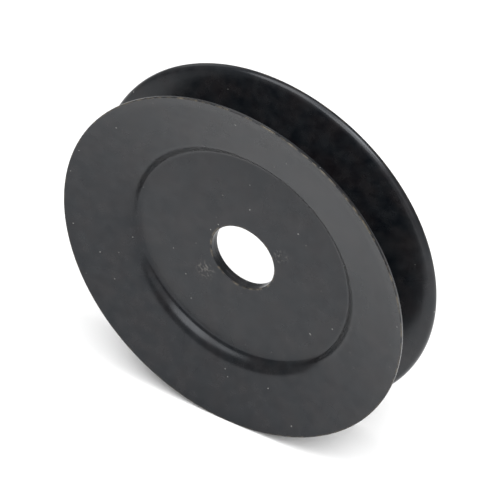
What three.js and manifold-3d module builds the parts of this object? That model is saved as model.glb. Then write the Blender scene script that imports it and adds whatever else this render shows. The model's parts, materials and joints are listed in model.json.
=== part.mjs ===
// V belt pulley: two pressed steel dishes welded back to back at their flat webs.
// Millimetres. The pulley turns about Y, its front faces -Y, and its centre is the origin.
import * as THREE from "three";
import { mergeVertices } from "three/addons/utils/BufferGeometryUtils.js";
import Module from "manifold-3d";

// The whole pulley
const OUTER_DIAMETER = 136.5;
const OVERALL_WIDTH = 23.9;
const BORE_DIAMETER = 25.4;
const SHEET = 1.9;

// The pressing: corners of its outer face before they are rounded, slopes from the web plane, inside bends
const STEP_FOOT_RADIUS = 42.6;
const LIP_FOOT_RADIUS = 65;
const STEP_SLOPE = THREE.MathUtils.degToRad(55);
const FLANGE_SLOPE = THREE.MathUtils.degToRad(15);
const LIP_SLOPE = THREE.MathUtils.degToRad(20);
const STEP_FOOT_BEND = 2.4;
const STEP_TOP_BEND = 5.5;
const LIP_BEND = 15;
const RIM_FACE_BEND = 0.2;
const RIM_BACK_BEND = 2.2;

// The welds between the webs, and the dimples that the welding projections leave in the rear one
const WELD_COUNT = 8;
const WELD_CIRCLE_RADIUS = 27.5;
const NUGGET_DIAMETER = 5.4;
const NUGGET_CLEARANCE = 0.3;
const NUGGET_HEIGHT = 1;
const DIMPLE_DIAMETER = 5;
const DIMPLE_DEPTH = 0.9;

// How finely the round shapes are cut
const TURN_STEPS = 72;
const BEND_STEP = THREE.MathUtils.degToRad(10);
const WELD_STEPS = 16;

const RIM_RADIUS = OUTER_DIAMETER / 2;
const BORE_RADIUS = BORE_DIAMETER / 2;
const RIM_HEIGHT = OVERALL_WIDTH / 2;

const wasm = await Module();
wasm.setup();

// Profile points are (radius, height above the plane where the webs meet). This is the outer face's normal.
function outward(slope) {
  return new THREE.Vector2(-Math.sin(slope), Math.cos(slope));
}

// Where a line at the first slope through one point meets a line at the second slope through another.
function crossing(first, firstSlope, second, secondSlope) {
  const firstRise = Math.tan(firstSlope);
  const secondRise = Math.tan(secondSlope);
  const gap = second.y - first.y + firstRise * first.x - secondRise * second.x;
  const radius = gap / (firstRise - secondRise);
  return new THREE.Vector2(radius, first.y + firstRise * (radius - first.x));
}

// Points at a reach from a centre, along the normals of the slopes from one to another.
function arc(centre, before, after, reach) {
  const steps = Math.ceil(Math.abs(after - before) / BEND_STEP);
  const points = [];
  for (let step = 0; step <= steps; step++) {
    const slope = THREE.MathUtils.lerp(before, after, step / steps);
    points.push(outward(slope).multiplyScalar(reach).add(centre));
  }
  return points;
}

// One rounded bend, on the outer face or at a depth below it.
function bendPoints({ corner, before, after, bend }, depth) {
  const turn = Math.sign(after - before);
  const reach = bend / Math.cos((after - before) / 2);
  const centre = outward((before + after) / 2).multiplyScalar(turn * reach).add(corner);
  return arc(centre, before, after, -turn * bend - depth);
}

// The section of one pressing: a sheet that runs from the bore to the rim, closed on itself.
function pressingOutline() {
  const quarterTurn = Math.PI / 2;

  // The rim's rounded corner, not its sharp one, reaches the overall width.
  const cutOff = RIM_FACE_BEND * (1 / Math.cos(LIP_SLOPE) + Math.tan(LIP_SLOPE) - 1);
  const rimFace = new THREE.Vector2(RIM_RADIUS, RIM_HEIGHT + cutOff);
  const rimBack = new THREE.Vector2(RIM_RADIUS, rimFace.y - SHEET / Math.cos(LIP_SLOPE));
  const lipRise = (RIM_RADIUS - LIP_FOOT_RADIUS) * Math.tan(LIP_SLOPE);
  const lipFoot = new THREE.Vector2(LIP_FOOT_RADIUS, rimFace.y - lipRise);

  const stepFoot = new THREE.Vector2(STEP_FOOT_RADIUS, SHEET);
  const stepTop = crossing(stepFoot, STEP_SLOPE, lipFoot, FLANGE_SLOPE);
  const bends = [
    { corner: stepFoot, before: 0, after: STEP_SLOPE, bend: STEP_FOOT_BEND },
    { corner: stepTop, before: STEP_SLOPE, after: FLANGE_SLOPE, bend: STEP_TOP_BEND },
    { corner: lipFoot, before: FLANGE_SLOPE, after: LIP_SLOPE, bend: LIP_BEND },
  ];
  const rimBends = [
    { corner: rimBack, before: LIP_SLOPE, after: quarterTurn, bend: RIM_BACK_BEND },
    { corner: rimFace, before: quarterTurn, after: 2 * quarterTurn + LIP_SLOPE, bend: RIM_FACE_BEND },
  ];
  return [
    new THREE.Vector2(BORE_RADIUS, 0),
    ...bends.flatMap((bend) => bendPoints(bend, SHEET)),
    ...rimBends.flatMap((bend) => bendPoints(bend, 0)),
    ...bends.flatMap((bend) => bendPoints(bend, 0)).reverse(),
    new THREE.Vector2(BORE_RADIUS, SHEET),
    new THREE.Vector2(BORE_RADIUS, 0),
  ];
}

// Solids, for cutting
function toSolid(geometry) {
  const bare = geometry.clone();
  bare.deleteAttribute("normal");
  bare.deleteAttribute("uv");
  const merged = mergeVertices(bare);
  const vertProperties = merged.attributes.position.array;
  const triVerts = new Uint32Array(merged.index.array);
  return new wasm.Manifold(new wasm.Mesh({ numProp: 3, vertProperties, triVerts }));
}

function toGeometry(solid) {
  const { vertProperties, triVerts } = solid.getMesh();
  const geometry = new THREE.BufferGeometry();
  geometry.setAttribute("position", new THREE.BufferAttribute(vertProperties, 3));
  geometry.setIndex(new THREE.BufferAttribute(triVerts, 1));
  geometry.computeVertexNormals();
  return geometry;
}

// The welds sit midway between the mounting points, which lie on the X and Z axes.
function weldPlace(index) {
  const angle = ((index + 0.5) / WELD_COUNT) * 2 * Math.PI;
  return [WELD_CIRCLE_RADIUS * Math.cos(angle), 0, WELD_CIRCLE_RADIUS * Math.sin(angle)];
}

function weldDisc(diameter) {
  return new THREE.CylinderGeometry(diameter / 2, diameter / 2, NUGGET_HEIGHT, WELD_STEPS);
}

function dimpleBall() {
  const radius = ((DIMPLE_DIAMETER / 2) ** 2 + DIMPLE_DEPTH ** 2) / (2 * DIMPLE_DEPTH);
  const ball = new THREE.SphereGeometry(radius, WELD_STEPS, WELD_STEPS / 2);
  return ball.translate(0, SHEET + radius - DIMPLE_DEPTH, 0);
}

// One pressing with its web on the plane y = 0 and its outer face towards +Y. Each weld cuts it once.
function pressing(...cutters) {
  let solid = toSolid(new THREE.LatheGeometry(pressingOutline(), TURN_STEPS));
  for (let index = 0; index < WELD_COUNT; index++) {
    for (const cutter of cutters) {
      solid = solid.subtract(toSolid(cutter.clone().translate(...weldPlace(index))));
    }
  }
  return toGeometry(solid);
}

function blackPaint() {
  return new THREE.MeshStandardMaterial({ color: 0x2e3033, roughness: 0.5, metalness: 0 });
}

function weldSteel() {
  return new THREE.MeshStandardMaterial({ color: 0x6e6a66, roughness: 0.55, metalness: 1 });
}

function piece(name, geometry, material) {
  const mesh = new THREE.Mesh(geometry, material);
  mesh.name = name;
  return mesh;
}

const pulley = new THREE.Group();
const weldPocket = weldDisc(NUGGET_DIAMETER + 2 * NUGGET_CLEARANCE);

const frontHalf = piece("front_half", pressing(weldPocket), blackPaint());
frontHalf.rotation.x = Math.PI;
pulley.add(frontHalf);

pulley.add(piece("rear_half", pressing(weldPocket, dimpleBall()), blackPaint()));

for (let index = 0; index < WELD_COUNT; index++) {
  const nugget = piece(`weld_nugget_${index + 1}`, weldDisc(NUGGET_DIAMETER), weldSteel());
  nugget.position.set(...weldPlace(index));
  pulley.add(nugget);
}

export default pulley;
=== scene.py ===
import json
import math

import bmesh
import bpy
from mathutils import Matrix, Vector


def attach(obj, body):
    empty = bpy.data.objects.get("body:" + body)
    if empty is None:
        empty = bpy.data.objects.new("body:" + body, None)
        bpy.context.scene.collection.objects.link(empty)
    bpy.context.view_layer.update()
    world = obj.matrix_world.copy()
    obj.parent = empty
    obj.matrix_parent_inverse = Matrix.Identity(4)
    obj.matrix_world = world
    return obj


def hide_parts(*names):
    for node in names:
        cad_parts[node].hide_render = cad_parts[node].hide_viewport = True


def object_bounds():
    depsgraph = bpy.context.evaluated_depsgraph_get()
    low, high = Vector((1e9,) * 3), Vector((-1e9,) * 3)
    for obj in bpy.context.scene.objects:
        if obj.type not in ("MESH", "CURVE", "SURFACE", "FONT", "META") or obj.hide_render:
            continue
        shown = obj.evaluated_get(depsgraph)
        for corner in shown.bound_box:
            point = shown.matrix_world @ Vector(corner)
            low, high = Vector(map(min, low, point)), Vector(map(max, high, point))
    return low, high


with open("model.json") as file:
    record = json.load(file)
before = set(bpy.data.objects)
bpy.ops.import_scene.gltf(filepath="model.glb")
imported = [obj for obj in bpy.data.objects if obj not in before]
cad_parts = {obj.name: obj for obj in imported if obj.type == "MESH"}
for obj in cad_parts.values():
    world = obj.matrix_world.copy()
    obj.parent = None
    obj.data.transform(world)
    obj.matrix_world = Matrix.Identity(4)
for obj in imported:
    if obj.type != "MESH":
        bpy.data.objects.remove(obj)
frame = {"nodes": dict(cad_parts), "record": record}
cad_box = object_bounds()

MM = 0.001

# Camera: its direction from the pulley, and where it aims beside the pulley's centre
AZIMUTH = math.radians(32.42)
ELEVATION = math.radians(38.54)
CAMERA_DISTANCE = 0.7917
LENS = 165.9
AIM_RIGHT = 1.6 * MM
AIM_UP = 1.71 * MM

# The pressing, as in the CAD model: the outer face's corners, slopes from the web plane and inside bends
STEP_FOOT_RADIUS = 42.6 * MM
LIP_FOOT_RADIUS = 65 * MM
STEP_SLOPE = math.radians(55)
FLANGE_SLOPE = math.radians(15)
LIP_SLOPE = math.radians(20)
STEP_FOOT_BEND = 2.4 * MM
STEP_TOP_BEND = 5.5 * MM
LIP_BEND = 15 * MM
RIM_FACE_BEND = 0.2 * MM
RIM_BACK_BEND = 2.2 * MM
BORE_EDGE_BEND = 0.3 * MM
SEAM_BEND = 0.12 * MM

# Weld dimples in the rear web
WELD_COUNT = 8
WELD_CIRCLE_RADIUS = 27.5 * MM
DIMPLE_RADIUS = 2.5 * MM
DIMPLE_DEPTH = 0.9 * MM

# How finely the pressings are meshed
TURN_STEPS = 360
BEND_STEP = math.radians(6)
RING_SPACING = 0.6 * MM
HEIGHT_TOLERANCE = 1e-7

# The paint: how wide its marks are, and how high they stand out
CLOUD_WIDTH = 28 * MM
PATCH_WIDTH = 9 * MM
MOTTLE_WIDTH = 4 * MM
WEAR_WIDTH = 2.5 * MM
PEEL_WIDTH = 1.3 * MM
SCRATCH_WIDTH = 1.1 * MM
RING_WIDTH = 0.7 * MM
GRAIN_WIDTH = 0.3 * MM
NIB_SPACING = 5.5 * MM
PEEL_HEIGHT = 0.006 * MM
GRAIN_HEIGHT = 0.0015 * MM
RING_HEIGHT = 0.004 * MM
SCUFF_HEIGHT = 0.01 * MM
NIB_HEIGHT = 0.06 * MM

# The paint: how far wear reaches from the edges, and how far the press rings reach from the rim
BORE_WEAR_START = 0.2 * MM
BORE_WEAR_END = 0.9 * MM
BORE_WEAR_DEPTH = 0.5 * MM
RIM_WEAR = 0.6 * MM
RINGS_FULL = 2 * MM
RINGS_END = 10 * MM

# The paint: its colours and gloss. A mottle goes from its first colour to its second in patches.
DARK_MOTTLE = ((0.0025, 0.0035, 0.005, 1), (0.0058, 0.005, 0.0058, 1))
LIGHT_MOTTLE = ((0.0105, 0.0115, 0.013, 1), (0.0138, 0.013, 0.0138, 1))
WORN_COLOUR = (0.12, 0.1, 0.07, 1)
SCUFF_COLOUR = (0.09, 0.085, 0.078, 1)
NIB_COLOUR = (0.22, 0.22, 0.21, 1)
PAINT_ROUGHNESS = (0.23, 0.3)
SCUFF_ROUGHNESS = 0.2
NIB_ROUGHNESS = 0.3
SPECULAR_LEVEL = 0.345
SPECULAR_TINT = (0.92, 0.95, 1, 1)

# Scuffs in the paint: each one's centre and how far it reaches
SCUFFS = [
    (Vector((-15.3, -1.9, -11.8)) * MM, 4.5 * MM),
    (Vector((15.3, -1.9, 7)) * MM, 3.5 * MM),
]

# The steel of the welds
RIPPLE_WIDTH = 0.8 * MM
RIPPLE_HEIGHT = 0.05 * MM
HEAT_WIDTH = 3 * MM
STEEL_COLOUR = (0.42, 0.4, 0.38, 1)
HEATED_COLOUR = (0.3, 0.24, 0.2, 1)
STEEL_ROUGHNESS = (0.4, 0.65)

# Surroundings. A light has its name, direction from the pulley, distance, size and power.
FLOOR_REACH = 6
FLOOR_COLOUR = (0.92, 0.92, 0.92, 1)
FLOOR_ROUGHNESS = 0.9
WORLD_STRENGTH = 0.4
LIGHTS = [
    ("key", (0.38, -0.5, 0.76), 0.8, 0.55, 2.9),
    ("front", (0.2, -0.6, 0.78), 0.8, 0.35, 0.45),
    ("overhead", (0.1, 0.1, 1), 0.7, 0.35, 0.7),
    ("near_overhead", (-0.2, -0.25, 0.95), 0.5, 0.33, 1.3),
    ("rim", (0.55, -0.05, 0.83), 0.8, 0.4, 3.4),
    ("left", (-0.77, 0.32, 0.55), 0.8, 0.48, 0.5),
    ("back", (-0.28, 0.83, 0.48), 0.9, 0.45, 0.5),
    ("side", (0.86, -0.41, 0.3), 1.5, 0.9, 1.6),
]

bore_mount = next(m for m in frame["record"]["mounts"] if m["name"] == "shaft_bore")
BORE_RADIUS = bore_mount["dims"]["r_mm"] * MM
SHEET = bore_mount["dims"]["length_mm"] * MM / 2
RIM_RADIUS = cad_box[1].x
RIM_HEIGHT = cad_box[1].y


def add_object(name, data):
    thing = bpy.data.objects.new(name, data)
    bpy.context.scene.collection.objects.link(thing)
    return thing


def make_camera():
    back = Vector((math.sin(AZIMUTH) * math.cos(ELEVATION),
                   -math.cos(AZIMUTH) * math.cos(ELEVATION),
                   math.sin(ELEVATION)))
    right = Vector((math.cos(AZIMUTH), math.sin(AZIMUTH), 0))
    up = back.cross(right)
    camera = add_object("camera", bpy.data.cameras.new("camera"))
    camera.data.lens = LENS
    camera.location = right * AIM_RIGHT + up * AIM_UP + back * CAMERA_DISTANCE
    camera.rotation_euler = (-back).to_track_quat("-Z", "Y").to_euler()
    bpy.context.scene.camera = camera


def outward(slope):
    """The normal of the outer face where it has this slope."""
    return Vector((-math.sin(slope), math.cos(slope)))


def arc(centre, before, after, reach):
    """Points at reach from a centre, along the normals of the slopes from before to after."""
    steps = math.ceil(abs(after - before) / BEND_STEP)
    slopes = [before + (after - before) * i / steps for i in range(steps + 1)]
    return [centre + outward(slope) * reach for slope in slopes]


def bend_points(corner, before, after, bend, depth=0.0):
    """An arc in place of a corner of a section, on the outer face or at a depth below it."""
    turn = 1 if after > before else -1
    centre = corner + outward((before + after) / 2) * turn * bend / math.cos((after - before) / 2)
    return arc(centre, before, after, -turn * bend - depth)


def crossing(first, first_slope, second, second_slope):
    """Where a line at the first slope through one point meets a line at the second slope through another."""
    first_rise = math.tan(first_slope)
    second_rise = math.tan(second_slope)
    gap = second.y - first.y + first_rise * first.x - second_rise * second.x
    radius = gap / (first_rise - second_rise)
    return Vector((radius, first.y + first_rise * (radius - first.x)))


def straight(start, end):
    """The points between two points of a section, so that no face is much longer than it is wide."""
    steps = max(1, round((end - start).length / RING_SPACING))
    return [start.lerp(end, i / steps) for i in range(1, steps)]


def half_section():
    """(radius, height above the mating plane) round the section of one pressing."""
    quarter_turn = math.pi / 2
    half_turn = math.pi
    # The rim's rounded corner, not its sharp one, reaches the overall width.
    cut_off = RIM_FACE_BEND * (1 / math.cos(LIP_SLOPE) + math.tan(LIP_SLOPE) - 1)
    rim_face = Vector((RIM_RADIUS, RIM_HEIGHT + cut_off))
    rim_back = rim_face - Vector((0, SHEET / math.cos(LIP_SLOPE)))
    lip_run = RIM_RADIUS - LIP_FOOT_RADIUS
    lip_foot = rim_face - Vector((lip_run, lip_run * math.tan(LIP_SLOPE)))
    step_foot = Vector((STEP_FOOT_RADIUS, SHEET))
    step_top = crossing(step_foot, STEP_SLOPE, lip_foot, FLANGE_SLOPE)
    bends = [
        (step_foot, 0, STEP_SLOPE, STEP_FOOT_BEND),
        (step_top, STEP_SLOPE, FLANGE_SLOPE, STEP_TOP_BEND),
        (lip_foot, FLANGE_SLOPE, LIP_SLOPE, LIP_BEND),
    ]
    bore_seam = Vector((BORE_RADIUS, 0))
    bore_face = Vector((BORE_RADIUS, SHEET))
    runs = [bend_points(bore_seam, half_turn * 1.5, half_turn * 2, SEAM_BEND)]
    runs += [bend_points(*bend, depth=SHEET) for bend in bends]
    runs.append(bend_points(rim_back, LIP_SLOPE, quarter_turn, RIM_BACK_BEND))
    runs.append(bend_points(rim_face, quarter_turn, half_turn + LIP_SLOPE, RIM_FACE_BEND))
    runs += [bend_points(*bend)[::-1] for bend in reversed(bends)]
    runs.append(bend_points(bore_face, half_turn, half_turn * 1.5, BORE_EDGE_BEND))
    section = []
    for run, following in zip(runs, runs[1:] + runs[:1]):
        section += run + straight(run[-1], following[0])
    return section


def dimple_depth(x, z):
    """How deep the nearest weld dimple is at a place on the rear web."""
    pitch = 2 * math.pi / WELD_COUNT
    nearest = (math.floor(math.atan2(z, x) / pitch) + 0.5) * pitch
    centre_x = WELD_CIRCLE_RADIUS * math.cos(nearest)
    centre_z = WELD_CIRCLE_RADIUS * math.sin(nearest)
    away = math.hypot(x - centre_x, z - centre_z)
    if away >= DIMPLE_RADIUS:
        return 0.0
    return DIMPLE_DEPTH * (0.5 + 0.5 * math.cos(math.pi * away / DIMPLE_RADIUS))


def make_half(name, side):
    """One pressing. side is -1 for the front, which faces -Y, and 1 for the rear."""
    section = half_section()
    maker = bmesh.new()
    rings = []
    for step in range(TURN_STEPS):
        angle = 2 * math.pi * step / TURN_STEPS
        ring = []
        for radius, height in section:
            x = radius * math.cos(angle)
            z = radius * math.sin(angle)
            if side > 0 and abs(height - SHEET) < HEIGHT_TOLERANCE:
                height -= dimple_depth(x, z)
            ring.append(maker.verts.new((x, side * height, z)))
        rings.append(ring)
    for ring, following in zip(rings, rings[1:] + rings[:1]):
        for i in range(len(section)):
            j = (i + 1) % len(section)
            maker.faces.new((ring[i], ring[j], following[j], following[i]))
    bmesh.ops.recalc_face_normals(maker, faces=maker.faces)
    for face in maker.faces:
        face.smooth = True
    data = bpy.data.meshes.new(name)
    maker.to_mesh(data)
    maker.free()
    return add_object(name, data)


def new_material(name):
    material = bpy.data.materials.new(name)
    material.use_nodes = True
    return material, material.node_tree.nodes["Principled BSDF"]


def feed(material, socket, source):
    """Gives a node's input another node's output, or a constant."""
    if isinstance(source, bpy.types.NodeSocket):
        material.node_tree.links.new(source, socket)
    else:
        socket.default_value = source


def add_node(material, kind, inputs, **settings):
    node = material.node_tree.nodes.new(kind)
    for name, value in settings.items():
        setattr(node, name, value)
    for name, source in inputs.items():
        feed(material, node.inputs[name], source)
    return node


def object_place(material):
    """The place on the piece, in metres."""
    return add_node(material, "ShaderNodeTexCoord", {}).outputs["Object"]


def noise(material, place, width, detail=2.0):
    inputs = {"Vector": place, "Scale": 1 / width, "Detail": detail}
    return add_node(material, "ShaderNodeTexNoise", inputs).outputs["Fac"]


def spread(material, value, start, end, low=0.0, high=1.0):
    """value from start to end becomes low to high, and stays there beyond."""
    inputs = {"Value": value, "From Min": start, "From Max": end, "To Min": low, "To Max": high}
    return add_node(material, "ShaderNodeMapRange", inputs).outputs["Result"]


def combine(material, operation, first, second):
    inputs = {0: first, 1: second}
    return add_node(material, "ShaderNodeMath", inputs, operation=operation).outputs["Value"]


def tint(material, amount, below, above):
    """The colour below where amount is 0, and above where it is 1."""
    inputs = {"Fac": amount, "Color1": below, "Color2": above}
    return add_node(material, "ShaderNodeMixRGB", inputs).outputs["Color"]


def relief(material, pattern, height, normal=None):
    inputs = {"Height": pattern, "Distance": height}
    if normal:
        inputs["Normal"] = normal
    return add_node(material, "ShaderNodeBump", inputs).outputs["Normal"]


def distance_from(material, place, centre):
    inputs = {0: place, 1: centre}
    return add_node(material, "ShaderNodeVectorMath", inputs, operation="DISTANCE").outputs["Value"]


def radius_of(material, place):
    """The distance from the pulley's axis."""
    across = {0: place, 1: (1, 0, 1)}
    flat = add_node(material, "ShaderNodeVectorMath", across, operation="MULTIPLY").outputs["Vector"]
    return add_node(material, "ShaderNodeVectorMath", {0: flat}, operation="LENGTH").outputs["Value"]


def height_of(material, place):
    """The distance from the plane where the webs meet."""
    parts = add_node(material, "ShaderNodeSeparateXYZ", {"Vector": place})
    return combine(material, "ABSOLUTE", parts.outputs["Y"], 0.0)


def scuff_marks(material, place):
    """1 in the scratches of the scuffs, and 0 elsewhere."""
    scratches = spread(material, noise(material, place, SCRATCH_WIDTH, detail=6.0), 0.53, 0.62)
    near_any = 0.0
    for centre, reach in SCUFFS:
        near = spread(material, distance_from(material, place, centre), reach, reach * 0.4)
        near_any = combine(material, "MAXIMUM", near_any, near)
    return combine(material, "MULTIPLY", near_any, scratches)


def press_rings(material, radius):
    """Fine rings near the rim, as the press leaves them."""
    near_rim = spread(material, radius, RIM_RADIUS - RINGS_END, RIM_RADIUS - RINGS_FULL)
    inputs = {"W": radius, "Scale": 1 / RING_WIDTH, "Detail": 3.0}
    rings = add_node(material, "ShaderNodeTexNoise", inputs, noise_dimensions="1D").outputs["Fac"]
    return combine(material, "MULTIPLY", rings, near_rim)


def rubbed_edges(material, place, radius):
    """1 where the paint is worn off the outer edges of the bore and the rim, and 0 elsewhere."""
    height = height_of(material, place)
    bore_edge = spread(material, radius, BORE_RADIUS + BORE_WEAR_END, BORE_RADIUS + BORE_WEAR_START)
    bore_side = spread(material, height, SHEET - BORE_WEAR_DEPTH, SHEET)
    bore_edge = combine(material, "MULTIPLY", bore_edge, bore_side)
    rim_edge = spread(material, radius, RIM_RADIUS - RIM_WEAR, RIM_RADIUS)
    rim_side = spread(material, height, RIM_HEIGHT - RIM_WEAR, RIM_HEIGHT)
    rim_edge = combine(material, "MULTIPLY", rim_edge, rim_side)
    edges = combine(material, "MAXIMUM", bore_edge, rim_edge)
    worn = spread(material, noise(material, place, WEAR_WIDTH, detail=5.0), 0.44, 0.66)
    return combine(material, "MULTIPLY", edges, worn)


def black_paint():
    """Satin black paint on steel: cloudy, with orange peel, nibs, scuffs, rubbed edges and press rings."""
    material, shader = new_material("black_paint")
    place = object_place(material)
    radius = radius_of(material, place)
    clouds = noise(material, place, CLOUD_WIDTH, detail=5.0)
    patches = spread(material, noise(material, place, PATCH_WIDTH, detail=3.0), 0.4, 0.65)
    mottle = spread(material, noise(material, place, MOTTLE_WIDTH, detail=6.0), 0.3, 0.7)
    cells = add_node(material, "ShaderNodeTexVoronoi", {"Vector": place, "Scale": 1 / NIB_SPACING})
    nibs = spread(material, cells.outputs["Distance"], 0.06, 0.03)
    scuffs = scuff_marks(material, place)

    dark = tint(material, patches, *DARK_MOTTLE)
    light = tint(material, patches, *LIGHT_MOTTLE)
    colour = tint(material, mottle, dark, light)
    colour = tint(material, rubbed_edges(material, place, radius), colour, WORN_COLOUR)
    colour = tint(material, scuffs, colour, SCUFF_COLOUR)
    colour = tint(material, nibs, colour, NIB_COLOUR)

    roughness = spread(material, clouds, 0.3, 0.7, *PAINT_ROUGHNESS)
    for marks, extra in ((scuffs, SCUFF_ROUGHNESS), (nibs, NIB_ROUGHNESS)):
        roughness = combine(material, "ADD", roughness, combine(material, "MULTIPLY", marks, extra))

    normal = relief(material, noise(material, place, PEEL_WIDTH), PEEL_HEIGHT)
    normal = relief(material, noise(material, place, GRAIN_WIDTH), GRAIN_HEIGHT, normal)
    normal = relief(material, press_rings(material, radius), RING_HEIGHT, normal)
    normal = relief(material, scuffs, SCUFF_HEIGHT, normal)
    normal = relief(material, nibs, NIB_HEIGHT, normal)

    shader.inputs["Specular IOR Level"].default_value = SPECULAR_LEVEL
    shader.inputs["Specular Tint"].default_value = SPECULAR_TINT
    feed(material, shader.inputs["Base Color"], colour)
    feed(material, shader.inputs["Roughness"], roughness)
    feed(material, shader.inputs["Normal"], normal)
    return material


def weld_steel():
    """Steel that melted and set: heat colours in patches, ripples and an uneven gloss."""
    material, shader = new_material("weld_steel")
    place = object_place(material)
    ripples = noise(material, place, RIPPLE_WIDTH, detail=4.0)
    heat = spread(material, noise(material, place, HEAT_WIDTH, detail=3.0), 0.35, 0.65)
    colour = tint(material, heat, STEEL_COLOUR, HEATED_COLOUR)
    shader.inputs["Metallic"].default_value = 1
    feed(material, shader.inputs["Base Color"], colour)
    feed(material, shader.inputs["Roughness"], spread(material, ripples, 0.3, 0.7, *STEEL_ROUGHNESS))
    feed(material, shader.inputs["Normal"], relief(material, ripples, RIPPLE_HEIGHT))
    return material


def make_nuggets(material):
    """The welds between the webs keep their CAD shape and get their steel."""
    for name, nugget in frame["nodes"].items():
        if name.startswith("weld_nugget"):
            nugget.data.materials.clear()
            nugget.data.materials.append(material)


def make_floor():
    corners = [
        (-FLOOR_REACH, -FLOOR_REACH, -RIM_RADIUS),
        (FLOOR_REACH, -FLOOR_REACH, -RIM_RADIUS),
        (FLOOR_REACH, FLOOR_REACH, -RIM_RADIUS),
        (-FLOOR_REACH, FLOOR_REACH, -RIM_RADIUS),
    ]
    data = bpy.data.meshes.new("floor")
    data.from_pydata(corners, [], [(0, 1, 2, 3)])
    material, shader = new_material("floor")
    shader.inputs["Base Color"].default_value = FLOOR_COLOUR
    shader.inputs["Roughness"].default_value = FLOOR_ROUGHNESS
    data.materials.append(material)
    floor = add_object("floor", data)


def add_light(name, direction, distance, size, power):
    data = bpy.data.lights.new(name, "AREA")
    data.shape = "DISK"
    data.size = size
    data.energy = power
    light = add_object(name, data)
    toward = Vector(direction)
    light.location = toward.normalized() * distance
    light.rotation_euler = toward.to_track_quat("Z", "Y").to_euler()


def make_world():
    world = bpy.data.worlds.new("studio")
    world.use_nodes = True
    background = world.node_tree.nodes["Background"]
    background.inputs["Color"].default_value = (1, 1, 1, 1)
    background.inputs["Strength"].default_value = WORLD_STRENGTH
    bpy.context.scene.world = world


make_camera()
paint = black_paint()
for name, node, side in (("front_pressing", "front_half", -1), ("rear_pressing", "rear_half", 1)):
    half = make_half(name, side)
    half.data.materials.append(paint)
    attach(half, "root")
    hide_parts(node)
make_nuggets(weld_steel())

make_floor()
for light in LIGHTS:
    add_light(*light)
make_world()
bpy.context.scene.view_settings.view_transform = "Standard"
